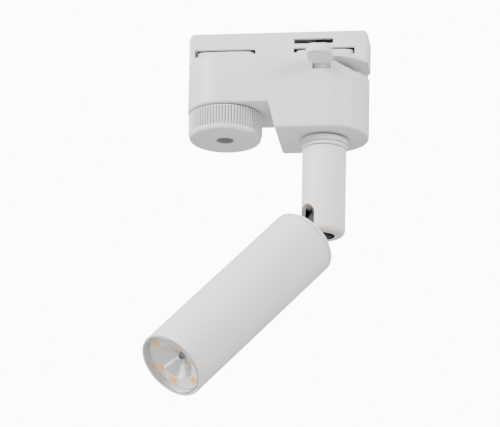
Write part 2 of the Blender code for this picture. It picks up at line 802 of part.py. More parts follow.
def make_knuckle(parent):
    """The plated eye on the pivot and the stud that holds the head."""
    half = KNUCKLE_WIDTH / 2
    knuckle = rod(
        "head_knuckle", KNUCKLE_RADIUS, (0, -half, 0), (0, half, 0), CHROME, segments=ROUND
    )
    web = block("knuckle_web", (-half, -half, -9.4), (half, half, -4.0), cutter=True)
    join(knuckle, web)
    post = rod("knuckle_post", 4.0, (0, 0, -HEAD_START + GAP), (0, 0, -8.8), cutter=True)
    join(knuckle, post)
    stud = rod("knuckle_stud", 2.6, (0, 0, -HEAD_START - 7.0), (0, 0, -HEAD_START + 1), cutter=True)
    join(knuckle, stud)
    hole = rod("knuckle_hole", PIVOT_SCREW_RADIUS + GAP, (0, -6, 0), (0, 6, 0), cutter=True)
    cut(knuckle, hole)
    attach(knuckle, parent)
    nut = hex_nut(
        "knuckle_nut", 2.9, 5.0, -HEAD_START - CAP_THICKNESS - GAP - 3.0,
        -HEAD_START - CAP_THICKNESS - GAP, STEEL,
    )
    attach(nut, parent)


def make_head_shells(parent):
    """The turned rear cap and the long barrel, along the local -Z axis."""
    back = -HEAD_START
    seam = back - CAP_THICKNESS
    cap = turned(
        "rear_cap",
        [
            (HEAD_RADIUS - 0.5, back),
            (HEAD_RADIUS, back - 0.5),
            (HEAD_RADIUS, seam),
            (CAP_SPIGOT_RADIUS, seam),
            (CAP_SPIGOT_RADIUS, seam - 6.0),
            (CAP_SPIGOT_RADIUS - 1.5, seam - 6.0),
            (CAP_SPIGOT_RADIUS - 1.5, seam),
            (2.9, seam),
            (2.9, back),
        ],
        LAMP_WHITE,
        closed=True,
    )
    attach(cap, parent)
    front = back - HEAD_LENGTH
    barrel = turned(
        "head_barrel",
        [
            (HEAD_RADIUS, seam - GAP),
            (HEAD_RADIUS, front + 0.3),
            (HEAD_RADIUS - 0.3, front),
            (HEAD_BORE + 0.2, front),
            (HEAD_BORE, front + 0.2),
            (HEAD_BORE, seam - GAP),
        ],
        LAMP_WHITE,
        closed=True,
    )
    attach(barrel, parent)


def make_driver(parent):
    """The driver board with its capacitor and transformer, behind the heat sink."""
    back = -HEAD_START
    board = block("driver_board", (-0.8, -12.0, back - 52), (0.8, 12.0, back - 12), BOARD_GREEN)
    attach(board, parent)
    capacitor = rod(
        "driver_capacitor", 4.0, (5.4, -5.0, back - 30), (5.4, -5.0, back - 15), DARK_PLASTIC
    )
    attach(capacitor, parent)
    transformer = block(
        "driver_transformer", (1.2, -6.5, back - 48), (9.5, 6.5, back - 35), DARK_PLASTIC, edge=0.8
    )
    attach(transformer, parent)


def make_light_engine(parent):
    """Heat sink, LED board, chips, lens and the ring that holds the lens."""
    back = -HEAD_START
    board_back = back - BOARD_BACK
    bowl_room = BOWL_RADIUS + 0.7
    sink = rod(
        "heat_sink",
        HEAD_BORE - GAP,
        (0, 0, board_back + GAP),
        (0, 0, back - 62.0),
        ALUMINIUM,
        segments=ROUND,
    )
    for i in range(4):
        side = 5.2 * (1.2 * i - 1.8)
        groove = block(
            f"sink_groove_{i}",
            (-20.0, side - 1.0, back - 80.0),
            (20.0, side + 1.0, back - 60.0),
            cutter=True,
        )
        cut(sink, groove)
    bowl_floor = back - LENS_FRONT + BOWL_DEPTH + LENS_THICKNESS + GAP
    cut(sink, rod("sink_bowl", bowl_room, (0, 0, board_back - 1), (0, 0, bowl_floor), cutter=True))
    cut(sink, rod("sink_pilot", 1.7, (0, 0, bowl_floor - 1), (0, 0, bowl_floor + 5), cutter=True))
    attach(sink, parent)
    board_front = board_back - BOARD_THICKNESS
    board = ring("led_board", bowl_room, HEAD_BORE - 0.6, board_front, board_back, BOARD_WHITE)
    attach(board, parent)
    half = CHIP_SIZE / 2
    for i, angle in enumerate(CHIP_ANGLES):
        chip = block(
            f"led_chip_{i + 1}",
            (-half, -half, -CHIP_THICKNESS),
            (half, half, 0.0),
            PHOSPHOR,
            edge=0.12,
        )
        turn = math.radians(angle)
        chip.location = (
            CHIP_RING * math.cos(turn) * MM,
            CHIP_RING * math.sin(turn) * MM,
            (board_front - 0.12) * MM,
        )
        chip.rotation_euler.z = turn
        attach(chip, parent)
    front = back - LENS_FRONT
    plate_back = front + LENS_THICKNESS
    floor = front + BOWL_DEPTH
    lens = turned(
        "lens",
        [
            (HEAD_BORE - GAP, plate_back),
            (HEAD_BORE - GAP, front + 0.3),
            (HEAD_BORE - 0.8, front),
            (BOWL_RADIUS, front),
            (2.4, floor),
            (1.8, floor),
            (1.8, floor + LENS_THICKNESS),
            (3.0, floor + LENS_THICKNESS),
            (BOWL_RADIUS + 0.3, plate_back + 1.2),
            (BOWL_RADIUS + 0.4, plate_back),
        ],
        LENS_CLEAR,
        closed=True,
    )
    attach(lens, parent)
    collar = ring(
        "lens_ring", HEAD_BORE - 1.0, HEAD_BORE - GAP, front - 0.9, front - GAP, STEEL, segments=ROUND
    )
    attach(collar, parent)
    screw = rod("lens_screw", 1.4, (0, 0, floor - 0.4), (0, 0, floor + 5.5), DARK_PLASTIC)
    attach(screw, parent)


make_housing()
make_neck_cover()
make_bearing()
make_terminal("live_terminal", -1)
make_terminal("neutral_terminal", 1)
make_bushing()

LOCK_AXIS = pose_empty("lock_axis", KNOB_X, 0.0)
make_lock(LOCK_AXIS)

ROTOR_AXIS = pose_empty("rotor_axis", ROTOR_X, 0.0)
make_rotor(ROTOR_AXIS)
make_lever(ROTOR_AXIS)

STEM_AXIS = pose_empty("stem_axis", ROTOR_X, 0.0, pan=PAN_DEG)
make_stem(STEM_AXIS)
make_fork(STEM_AXIS)

HEAD_AXIS = pose_empty("head_axis", 0.0, PIVOT_Z, tilt=TILT_DEG, parent=STEM_AXIS)
make_knuckle(HEAD_AXIS)
make_head_shells(HEAD_AXIS)
make_driver(HEAD_AXIS)
make_light_engine(HEAD_AXIS)
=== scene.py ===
"""Looks of the track spotlight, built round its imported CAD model. Metres, in the model's own frame."""

import json
import math

import bmesh
import bpy
from mathutils import Matrix, Vector


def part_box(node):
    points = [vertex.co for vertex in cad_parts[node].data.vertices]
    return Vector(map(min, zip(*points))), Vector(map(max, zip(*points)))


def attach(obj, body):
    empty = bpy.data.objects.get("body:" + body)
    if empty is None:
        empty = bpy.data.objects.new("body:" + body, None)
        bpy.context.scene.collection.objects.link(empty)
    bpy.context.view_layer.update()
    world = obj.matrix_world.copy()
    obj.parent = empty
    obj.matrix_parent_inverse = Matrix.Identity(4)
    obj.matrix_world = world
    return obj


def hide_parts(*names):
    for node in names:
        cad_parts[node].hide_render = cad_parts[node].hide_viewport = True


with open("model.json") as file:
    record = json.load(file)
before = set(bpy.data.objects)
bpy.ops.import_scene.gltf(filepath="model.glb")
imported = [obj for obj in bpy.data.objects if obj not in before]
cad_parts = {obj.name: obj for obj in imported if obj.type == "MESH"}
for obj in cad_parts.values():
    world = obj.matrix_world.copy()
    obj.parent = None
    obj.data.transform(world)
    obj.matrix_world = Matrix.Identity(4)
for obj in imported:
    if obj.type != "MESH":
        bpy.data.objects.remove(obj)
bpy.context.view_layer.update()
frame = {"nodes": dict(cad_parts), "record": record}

MM = 0.001
JOINTS = {joint["name"]: joint for joint in frame["record"]["behaviour"]["joints"]}

# Places read from the frame, in metres.
HOUSING_LOW, HOUSING_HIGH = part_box("adapter_housing")
KNOB_LOW, KNOB_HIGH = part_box("lock_knob")
LEVER_LOW, LEVER_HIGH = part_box("contact_lever")
BUSHING_LOW, BUSHING_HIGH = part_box("swivel_bushing")
COLLAR_LOW, COLLAR_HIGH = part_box("stem_collar")
TUBE_LOW, TUBE_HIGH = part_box("stem_tube")

KNOB_X = JOINTS["lock_knob_turn"]["pos_m"][0]
ROTOR_X = JOINTS["contact_lever_turn"]["pos_m"][0]
HALF_WIDTH = (HOUSING_HIGH[1] - HOUSING_LOW[1]) / 2
LOBE_X = HOUSING_HIGH[0] - HALF_WIDTH
KNOB_GAP = 0.6 * MM
LEFT_BOTTOM = KNOB_HIGH[2] + KNOB_GAP
NECK_HEIGHT = 13.9 * MM
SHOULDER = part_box("neck_cover")[1][2] - NECK_HEIGHT
PIVOT = Vector(JOINTS["head_tilt"]["pos_m"])
TILT_AXIS = Vector(JOINTS["head_tilt"]["axis"])
PAN = math.atan2(-TILT_AXIS.x, TILT_AXIS.y)
TILT = math.radians(-JOINTS["head_tilt"]["range_deg"][0])
STEM_SPACE = Matrix.Translation((ROTOR_X, 0, 0)) @ Matrix.Rotation(PAN, 4, "Z")
HEAD_SPACE = (
    Matrix.Translation(PIVOT) @ Matrix.Rotation(PAN, 4, "Z") @ Matrix.Rotation(TILT, 4, "Y")
)
ROTOR_SPACE = Matrix.Translation((ROTOR_X, 0, 0))
KNOB_SPACE = Matrix.Translation((KNOB_X, 0, 0))

# Sizes of the adapter.
HOUSING_WALL = 2.0 * MM
SLANT_TOP_X = -3.1 * MM
SLANT_RUN_PER_DROP = 3.2 / 13.0
NECK_HALF_LENGTH = 41.7 * MM
NECK_HALF_DEPTH = 8.0 * MM
NECK_ROOM_HALF_LENGTH = 38.0 * MM
NECK_ROOM_HALF_DEPTH = 6.2 * MM
SLOT_TOP = -7.8 * MM
SLOT_LOW = -11.5 * MM
SLOT_REACH = 14.2 * MM
BLADE_SLOT_TOP = -3.3 * MM
BLADE_SLOT_LOW = -5.9 * MM
BLADE_SLOT_REACH = 14.1 * MM
BLADE_SLOT_NEAR = 4.1 * MM
SHAFT_WELL_RADIUS = 6.1 * MM
ROTOR_WELL_RADIUS = 10.4 * MM
DRUM_WELL_RADIUS = 15.7 * MM
SHAFT_HOLE_RADIUS = 4.3 * MM
STEM_HOLE_RADIUS = 7.0 * MM
MARK_DROP = 12.7 * MM
MARK_HALF_HEIGHT = 1.9 * MM
MARK_RING_X = 19.6 * MM
MARK_BAR_DEG = 54.0

# The recess of the lever, and how far a cutter reaches past what it cuts.
RECESS_CEILING = SHOULDER - 2.2 * MM
RECESS_FLOOR = RECESS_CEILING - 6.2 * MM
TOOTH_TOP = RECESS_CEILING - 2.3 * MM
DECK_LOW = RECESS_CEILING - 7.9 * MM
RECESS_BACK = 6.15 * MM
THROUGH = 30.0 * MM

# Lever, cams and knob.
HALF_PADDLE = 5.8 * MM
PADDLE_START = 19.2 * MM
LEVER_REACH = 34.5 * MM
HALF_ARM = 4.0 * MM
ARM_THICKNESS = 1.7 * MM
LEVER_HUB_RADIUS = 9.6 * MM
LEVER_DRUM_RADIUS = 13.4 * MM
CAM_LOW = -11.15 * MM
CAM_THICKNESS = 2.5 * MM
CAM_REACH = 13.3 * MM
CAM_HALF_WIDTH = 7.5 * MM
CAM_BOW = 2.4 * MM
KNOB_RADIUS = (KNOB_HIGH[0] - KNOB_LOW[0]) / 2
KNOB_RIBS = 76
KNOB_GROOVE_DEPTH = 0.72 * MM
SCREW_RECESS_RADIUS = 4.0 * MM

# Stem, head and lens.
STEM_RADIUS = 10.1 * MM
STEM_BORE = 8.2 * MM
STEM_FOOT_ROUND = 3.0 * MM
STEM_SLOT_HALF = 5.0 * MM
STEM_SLOT_HEIGHT = 13.5 * MM
NIPPLE_CLEARANCE = 5.3 * MM
HEAD_RADIUS = 16.0 * MM
HEAD_BORE = 15.0 * MM
HEAD_START = 16.0 * MM
HEAD_LENGTH = 100.0 * MM
CAP_THICKNESS = 1.8 * MM
SPIGOT_RADIUS = 14.6 * MM
SPIGOT_BORE = 12.7 * MM
SPIGOT_LENGTH = 6 * MM
KNUCKLE_RADIUS = 7.0 * MM
KNUCKLE_HALF = 3.0 * MM
POST_RADIUS = 4.0 * MM
STUD_RADIUS = 2.6 * MM
STUD_HOLE_RADIUS = 2.9 * MM
LENS_FRONT = 99.0 * MM
LENS_THICKNESS = 1.0 * MM
LENS_BOWL_RADIUS = 8.4 * MM
LENS_BOWL_DEPTH = 6.6 * MM
LENS_RIDGE_RADII = (9.0 * MM, 9.9 * MM, 13.5 * MM)
CLIP_RING_INNER = 14.0 * MM

# CAD nodes that take another colour than their record slot: near-black as painted shade, near-white as
# painted sheen.
SHADE_DARKENED_NODES = ("pivot_screw", "pivot_nut", "contact_rotor")
SHEEN_WHITE_NODES = ("pivot_fork",)


# ---------------------------------------------------------------- materials


def shader_material(name, colour, roughness, metallic=0.0, **sockets):
    material = bpy.data.materials.new(name)
    material.use_nodes = True
    shader = material.node_tree.nodes["Principled BSDF"]
    shader.inputs["Base Color"].default_value = (*colour, 1.0)
    shader.inputs["Roughness"].default_value = roughness
    shader.inputs["Metallic"].default_value = metallic
    for socket, value in sockets.items():
        shader.inputs[socket.replace("_", " ")].default_value = value
    return material, material.node_tree, shader


def noise(tree, scale, detail=4.0):
    place = tree.nodes.new("ShaderNodeTexCoord")
    texture = tree.nodes.new("ShaderNodeTexNoise")
    texture.inputs["Scale"].default_value = scale
    texture.inputs["Detail"].default_value = detail
    tree.links.new(place.outputs["Object"], texture.inputs["Vector"])
    return texture


def vary_colour(tree, shader, texture, light, dark):
    ramp = tree.nodes.new("ShaderNodeValToRGB")
    ramp.color_ramp.elements[0].position = 0.3
    ramp.color_ramp.elements[0].color = (*dark, 1.0)
    ramp.color_ramp.elements[1].position = 0.7
    ramp.color_ramp.elements[1].color = (*light, 1.0)
    tree.links.new(texture.outputs["Fac"], ramp.inputs["Fac"])
    tree.links.new(ramp.outputs["Color"], shader.inputs["Base Color"])


def vary_roughness(tree, shader, texture, low, high):
    spread = tree.nodes.new("ShaderNodeMapRange")
    spread.inputs["To Min"].default_value = low
    spread.inputs["To Max"].default_value = high
    tree.links.new(texture.outputs["Fac"], spread.inputs["Value"])
    tree.links.new(spread.outputs["Result"], shader.inputs["Roughness"])


def add_bump(tree, shader, texture, strength, distance, below=None):
    bump = tree.nodes.new("ShaderNodeBump")
    bump.inputs["Strength"].default_value = strength
    bump.inputs["Distance"].default_value = distance
    tree.links.new(texture.outputs["Fac"], bump.inputs["Height"])
    if below:
        tree.links.new(below.outputs["Normal"], bump.inputs["Normal"])
    tree.links.new(bump.outputs["Normal"], shader.inputs["Normal"])
    return bump


def moulded_plastic(name, colour, roughness, grain=1600.0, depth=0.03):
    """Fine spark-eroded grain over a slow change of tone."""
    material, tree, shader = shader_material(name, colour, roughness)
    slow = noise(tree, 60.0, 3.0)
    darker = tuple(0.975 * channel for channel in colour)
    vary_colour(tree, shader, slow, colour, darker)
    vary_roughness(tree, shader, noise(tree, 220.0), roughness - 0.05, roughness + 0.06)
    add_bump(tree, shader, noise(tree, grain, 2.0), 0.25, depth * MM)
    return material


def powder_coat(name, colour):
    """Matt powder coat: soft orange peel with a fine grain on top."""
    material, tree, shader = shader_material(name, colour, 0.5)
    darker = tuple(0.98 * channel for channel in colour)
    vary_colour(tree, shader, noise(tree, 45.0, 2.0), colour, darker)
    vary_roughness(tree, shader, noise(tree, 300.0), 0.46, 0.58)
    peel = add_bump(tree, shader, noise(tree, 650.0, 1.0), 0.22, 0.05 * MM)
    add_bump(tree, shader, noise(tree, 3200.0, 2.0), 0.25, 0.02 * MM, below=peel)
    return material


def worn_metal(name, colour, roughness, scratch=0.15):
    """Plated or turned metal: a fine grain and a little tarnish."""
    material, tree, shader = shader_material(name, colour, roughness, 1.0)
    darker = tuple(0.8 * channel for channel in colour)
    vary_colour(tree, shader, noise(tree, 150.0), colour, darker)
    vary_roughness(tree, shader, noise(tree, 500.0), roughness * 0.7, roughness * 1.4)
    add_bump(tree, shader, noise(tree, 2400.0, 2.0), scratch, 0.02 * MM)
    return material


def phosphor_gel():
    """Orange-yellow phosphor, a little mottled, with a faint painted glow from a small emission."""
    material, tree, shader = shader_material("phosphor_gel", (0.95, 0.45, 0.04), 0.35)
    vary_colour(tree, shader, noise(tree, 420.0), (1.0, 0.52, 0.09), (0.94, 0.38, 0.03))
    # A faint emission paints light onto the phosphor: painted glow.
    shader.inputs["Emission Color"].default_value = (1.0, 0.55, 0.12, 1.0)
    shader.inputs["Emission Strength"].default_value = 0.35
    add_bump(tree, shader, noise(tree, 1500.0), 0.2, 0.03 * MM)
    return material


def clear_lens():
    """Clear moulded plastic with faint flow marks, thin enough to let most light through."""
    material, tree, shader = shader_material(
        "lens_clear_moulded", (0.97, 0.97, 0.98), 0.05, Alpha=0.06, Coat_Weight=0.5
    )
    vary_roughness(tree, shader, noise(tree, 300.0), 0.03, 0.09)
    add_bump(tree, shader, noise(tree, 260.0, 1.0), 0.12, 0.04 * MM)
    return material


ADAPTER = moulded_plastic("adapter_plastic", (0.80, 0.81, 0.825), 0.42)
LAMP = powder_coat("lamp_powder_coat", (0.93, 0.885, 0.85))
CAM = moulded_plastic("cam_nylon", (0.80, 0.80, 0.79), 0.38)
STEEL = worn_metal("zinc_plated_steel", (0.60, 0.61, 0.63), 0.3)
CHROME = worn_metal("bright_plate", (0.82, 0.84, 0.86), 0.16, 0.05)
COPPER = worn_metal("contact_alloy", (0.46, 0.33, 0.25), 0.42)
BRASS = worn_metal("terminal_brass", (0.78, 0.60, 0.28), 0.3)
ALUMINIUM = worn_metal("machined_aluminium", (0.72, 0.73, 0.74), 0.34)
BOARD_GREEN = moulded_plastic("circuit_board", (0.05, 0.20, 0.09), 0.45)
BOARD_WHITE = moulded_plastic("white_solder_mask", (0.95, 0.95, 0.94), 0.3)
# A non-metallic near-white that stands for the plated fork's bright reflection: painted sheen.
PAINTED_SHEEN_PLATE = moulded_plastic("zinc_plate_painted_sheen", (0.90, 0.91, 0.92), 0.25)
# Near-black: the colour of the record's dark plastic parts, and also painted shade on the stem bore, the
# cam shelves, the knuckle and the shaded CAD nodes.
DARK_PLASTIC_AND_SHADE = moulded_plastic("dark_moulding_and_painted_shade", (0.035, 0.035, 0.04), 0.5)
# Darker grey for the knob's groove bottoms and screw recess: painted shade.
GROOVE_SHADE = moulded_plastic("adapter_groove_painted_shade", (0.36, 0.37, 0.385), 0.5)
REFLECTOR = worn_metal("reflector_plate", (0.97, 0.97, 0.97), 0.24, 0.1)
PHOSPHOR = phosphor_gel()
LENS = clear_lens()

SLOT_MATERIALS = {
    "adapter_white": ADAPTER,
    "lamp_white": LAMP,
    "cam_white": CAM,
    "brass": BRASS,
    "contact_copper": COPPER,
    "zinc_steel": STEEL,
    "chrome": CHROME,
    "aluminium": ALUMINIUM,
    "board_green": BOARD_GREEN,
    "board_white": BOARD_WHITE,
    "dark_plastic": DARK_PLASTIC_AND_SHADE,
    "phosphor": PHOSPHOR,
    "lens_clear": LENS,
}


# ---------------------------------------------------------------- shapes


def add_object(name, mesh, material=None):
    thing = bpy.data.objects.new(name, mesh)
    bpy.context.scene.collection.objects.link(thing)
    if material:
        mesh.materials.append(material)
    return thing


def to_object(name, work, material=None):
    bmesh.ops.recalc_face_normals(work, faces=work.faces)
    mesh = bpy.data.meshes.new(name)
    work.to_mesh(mesh)
    work.free()
    return add_object(name, mesh, material)


def prism(name, outline, low, high, material=None, upright=True):
    """An outline in metres pushed along Z, or an X-Z outline pushed along Y."""
    work = bmesh.new()
    if upright:
        corners = [work.verts.new((u, v, low)) for u, v in outline]
        step = (0, 0, high - low)
    else:
        corners = [work.verts.new((u, low, v)) for u, v in outline]
        step = (0, high - low, 0)
    face = work.faces.new(corners)
    pushed = bmesh.ops.extrude_face_region(work, geom=[face])
    moved = [item for item in pushed["geom"] if isinstance(item, bmesh.types.BMVert)]
    bmesh.ops.translate(work, vec=step, verts=moved)
    return to_object(name, work, material)


def box(name, low, high, material=None):
    outline = [(low[0], low[1]), (high[0], low[1]), (high[0], high[1]), (low[0], high[1])]
    return prism(name, outline, low[2], high[2], material)


def disc(name, radius, low, high, material=None, segments=96, x=0.0):
    outline = arc(x, 0, radius, 0, 360 - 360 / segments, segments)
    return prism(name, outline, low, high, material)


def arc(x, y, radius, start_deg, end_deg, count):
    step = (end_deg - start_deg) / (count - 1)
    turns = [math.radians(start_deg + i * step) for i in range(count)]
    return [(x + radius * math.cos(turn), y + radius * math.sin(turn)) for turn in turns]


def round_box(low_x, high_x, low_y, high_y, corner, count=9):
    return (
        arc(high_x - corner, high_y - corner, corner, 0, 90, count)
        + arc(low_x + corner, high_y - corner, corner, 90, 180, count)
        + arc(low_x + corner, low_y + corner, corner, 180, 270, count)
        + arc(high_x - corner, low_y + corner, corner, 270, 360, count)
    )


def turned(name, profile, material=None, segments=128, closed=True):
    """A profile of (radius, height) in metres turned about Z."""
    lines = [(i, i + 1) for i in range(len(profile) - 1)]
    if closed:
        lines.append((len(profile) - 1, 0))
    mesh = bpy.data.meshes.new(name)
    mesh.from_pydata([(radius, 0.0, height) for radius, height in profile], lines, [])
    thing = add_object(name, mesh, material)
    screw = thing.modifiers.new("turn", "SCREW")
    screw.steps = segments
    screw.render_steps = segments
    screw.use_merge_vertices = True
    screw.merge_threshold = 0.000001
    bake(thing)
    work = bmesh.new()
    work.from_mesh(thing.data)
    bmesh.ops.recalc_face_normals(work, faces=work.faces)
    work.to_mesh(thing.data)
    work.free()
    return thing


def rounded(profile, radius, count=5):
    """The profile with every corner between two long enough edges rounded off."""
    result = []
    total = len(profile)
    for i, point in enumerate(profile):
        here = Vector(point)
        before = Vector(profile[i - 1]) - here
        after = Vector(profile[(i + 1) % total]) - here
        reach = min(radius, before.length * 0.45, after.length * 0.45)
        start = here + before.normalized() * reach
        end = here + after.normalized() * reach
        for k in range(count):
            t = k / (count - 1)
            curve = start * (1 - t) ** 2 + here * (2 * t * (1 - t)) + end * t * t
            result.append((curve.x, curve.y))
    return result


def bake(thing):
    bpy.context.view_layer.update()
    seen = thing.evaluated_get(bpy.context.evaluated_depsgraph_get())
    mesh = bpy.data.meshes.new_from_object(seen)
    thing.modifiers.clear()
    thing.data = mesh


def combine(thing, other, operation):
    boolean = thing.modifiers.new("cut", "BOOLEAN")
    boolean.operation = operation
    boolean.solver = "EXACT"
    boolean.object = other
    bake(thing)
    bpy.data.objects.remove(other, do_unlink=True)


def cut(thing, *others):
    for other in others:
        combine(thing, other, "DIFFERENCE")


def join(thing, *others):
    for other in others:
        combine(thing, other, "UNION")


def paint_shade_inside(thing, radius, material):
    """Gives a second material, as painted shade, to the faces within the radius of the Z axis, save
    those facing down.
    """
    thing.data.materials.append(material)
    second = len(thing.data.materials) - 1
    for face in thing.data.polygons:
        if face.center.xy.length < radius and face.normal.z > -0.5:
            face.material_index = second


def soften(thing, width, segments=3, angle_deg=40.0):
    soft = thing.modifiers.new("edges", "BEVEL")
    soft.width = width
    soft.segments = segments
    soft.limit_method = "ANGLE"
    soft.angle_limit = math.radians(angle_deg)
    bake(thing)


def place(thing, space, body, replaced=(), slot=None, angle_deg=32.0):
    """Puts a finished piece where its body is at rest, shades it smooth, parents it to its body and
    hides the CAD nodes it replaces.
    """
    thing.data.transform(space)
    thing.data.shade_smooth()
    thing.data.set_sharp_from_angle(angle=math.radians(angle_deg))
    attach(thing, body)
    if replaced:
        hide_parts(*replaced)
    return thing


# ---------------------------------------------------------------- adapter


def lobes(inset=0.0):
    radius = HALF_WIDTH - inset
    return arc(LOBE_X, 0, radius, -90, 90, 65) + arc(KNOB_X, 0, radius, 90, 270, 65)


def knob_space(shift=0.0):
    """The space under the left lobe, up to the slanted wall."""
    drop = 20.0 * MM
    run = drop * SLANT_RUN_PER_DROP
    top_x = SLANT_TOP_X + shift
    floor = LEFT_BOTTOM + shift
    far = -2 * THROUGH
    outline = [(far, floor), (top_x, floor), (top_x + run, floor - drop), (far, floor - drop)]
    return prism("space", outline, -THROUGH, THROUGH, upright=False)


def make_neck():
    """The long bar that goes into the track, rounded in side view and in plan."""
    side = round_box(-NECK_HALF_LENGTH, NECK_HALF_LENGTH, -THROUGH, 0.0, 3.0 * MM, 13)
    neck = prism("neck", side, -NECK_HALF_DEPTH, NECK_HALF_DEPTH, upright=False)
    plan = round_box(
        -NECK_HALF_LENGTH, NECK_HALF_LENGTH, -NECK_HALF_DEPTH, NECK_HALF_DEPTH, 1.8 * MM, 13
    )
    combine(neck, prism("plan", plan, SHOULDER - 2 * MM, 10 * MM), "INTERSECT")
    return neck


def hollow_adapter(body):
    """The room inside, the wells for both shafts and the lever's drum, and the room in the neck."""
    bottom = HOUSING_LOW[2]
    room = prism("room", lobes(HOUSING_WALL), bottom + HOUSING_WALL, DECK_LOW)
    cut(room, knob_space(HOUSING_WALL))
    cut(body, room)
    for x, radius, low, high in (
        (KNOB_X, SHAFT_WELL_RADIUS, DECK_LOW - MM, RECESS_CEILING + MM),
        (ROTOR_X, ROTOR_WELL_RADIUS, DECK_LOW - MM, RECESS_CEILING),
        (ROTOR_X, DRUM_WELL_RADIUS, RECESS_FLOOR, RECESS_CEILING),
    ):
        cut(body, disc("well", radius, low, high, x=x))
    low = (-NECK_ROOM_HALF_LENGTH, -NECK_ROOM_HALF_DEPTH, RECESS_CEILING - MM)
    cut(body, box("neck_room", low, (NECK_ROOM_HALF_LENGTH, NECK_ROOM_HALF_DEPTH, 10 * MM)))


def cut_neck_slots(body):
    """A slot for each cam right through the neck, and one for each blade in its own side."""
    deep = 20 * MM
    for x in (KNOB_X, ROTOR_X):
        low = (x - SLOT_REACH, -deep, SLOT_LOW)
        cut(body, box("slot", low, (x + SLOT_REACH, deep, SLOT_TOP)))
    for turn in (-1, 1):
        ends = sorted((ROTOR_X + turn * BLADE_SLOT_REACH, ROTOR_X - turn * BLADE_SLOT_NEAR))
        depths = sorted((turn * 2 * MM, turn * deep))
        low = (ends[0], depths[0], BLADE_SLOT_LOW)
        cut(body, box("blade_slot", low, (ends[1], depths[1], BLADE_SLOT_TOP)))


def cut_lever_recess(body):
    """The recess that the lever sweeps through, with the notch and the ramped stop tooth."""
    stop = ROTOR_X - HALF_ARM - 0.35 * MM
    notch = ROTOR_X + HALF_ARM + 0.15 * MM
    outline = [
        (stop, RECESS_FLOOR),
        (notch, RECESS_FLOOR),
        (notch, TOOTH_TOP),
        (notch + 1.8 * MM, TOOTH_TOP),
        (ROTOR_X + 12.6 * MM, RECESS_FLOOR),
        (2 * THROUGH, RECESS_FLOOR),
        (2 * THROUGH, RECESS_CEILING),
        (stop, RECESS_CEILING),
    ]
    cut(body, prism("recess", outline, -THROUGH, RECESS_BACK, upright=False))


def make_inner_plates():
    """The plate over the recess, and near-black shelves above the two cams that paint shade into the
    slots.
    """
    depth = NECK_ROOM_HALF_DEPTH - 0.1 * MM
    low = (ROTOR_X + 6.7 * MM, -depth, RECESS_CEILING + 0.05 * MM)
    high = (NECK_ROOM_HALF_LENGTH - 0.1 * MM, depth, RECESS_CEILING + 0.65 * MM)
    plate = box("recess_plate", low, high, ADAPTER)
    place(plate, Matrix.Identity(4), "adapter", (), "adapter_white")
    # The shelves are near-black sheets that stand for the shade inside the slots above the cams: painted
    # shade.
    for name, x, bore in (("lock_shelf", KNOB_X, 4.4), ("rotor_shelf", ROTOR_X, 5.3)):
        low = (x - SLOT_REACH, -depth, SLOT_TOP + 0.1 * MM)
        shelf = box(name, low, (x + SLOT_REACH, depth, SLOT_TOP + 1.3 * MM), DARK_PLASTIC_AND_SHADE)
        cut(shelf, disc("bore", bore * MM, SLOT_TOP, SLOT_TOP + 2 * MM, x=x))
        place(shelf, Matrix.Identity(4), "adapter", (), "dark_plastic")


def make_adapter():
    bottom = HOUSING_LOW[2]
    body = prism("adapter_shell", lobes(), bottom, SHOULDER, ADAPTER)
    cut(body, knob_space())
    soften(body, 1.1 * MM, 5)
    join(body, make_neck())
    hollow_adapter(body)
    cut_neck_slots(body)
    cut_lever_recess(body)
    for x, radius, low in (
        (KNOB_X, SHAFT_HOLE_RADIUS, LEFT_BOTTOM),
        (ROTOR_X, STEM_HOLE_RADIUS, bottom),
    ):
        cut(body, disc("hole", radius, low - MM, low + 4 * MM, x=x))
    place(body, Matrix.Identity(4), "adapter", ["adapter_housing"], "adapter_white")
    make_inner_plates()


def make_marks():
    """Generic marks beside the lever: a ring for off, a bar for on, and the line between them."""
    level = SHOULDER - MARK_DROP
    bpy.ops.mesh.primitive_torus_add(
        major_radius=MARK_HALF_HEIGHT, minor_radius=0.3 * MM, major_segments=48, minor_segments=12
    )
    ring = bpy.context.object
    ring.name = "mark_off_ring"
    ring.data.materials.append(ADAPTER)
    turn = Matrix.Rotation(math.radians(90), 4, "X")
    spot = Matrix.Translation((MARK_RING_X, -HALF_WIDTH, level))
    place(ring, spot @ turn, "adapter", (), "adapter_white")

    angle = math.radians(MARK_BAR_DEG)
    centre = Vector((LOBE_X + HALF_WIDTH * math.sin(angle), -HALF_WIDTH * math.cos(angle), level))
    half = 0.35 * MM
    proud = 0.3 * MM
    low = (-half, -proud, -MARK_HALF_HEIGHT)
    bar = box("mark_on_bar", low, (half, proud, MARK_HALF_HEIGHT), ADAPTER)
    soften(bar, 0.1 * MM, 3)
    spot = Matrix.Translation(centre) @ Matrix.Rotation(angle, 4, "Z")
    place(bar, spot, "adapter", (), "adapter_white")

    curve = bpy.data.curves.new("mark_sweep_line", "CURVE")
    curve.dimensions = "3D"
    curve.bevel_depth = 0.22 * MM
    curve.use_fill_caps = True
    spline = curve.splines.new("POLY")
    steps = 24
    spline.points.add(steps)
    for i in range(steps + 1):
        turn = math.radians(4.0 + 38.0 * i / steps)
        x = LOBE_X + HALF_WIDTH * math.sin(turn)
        spline.points[i].co = (x, -HALF_WIDTH * math.cos(turn), level, 1.0)
    curve.materials.append(ADAPTER)
    line = bpy.data.objects.new("mark_sweep_line", curve)
    bpy.context.scene.collection.objects.link(line)
    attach(line, "adapter")


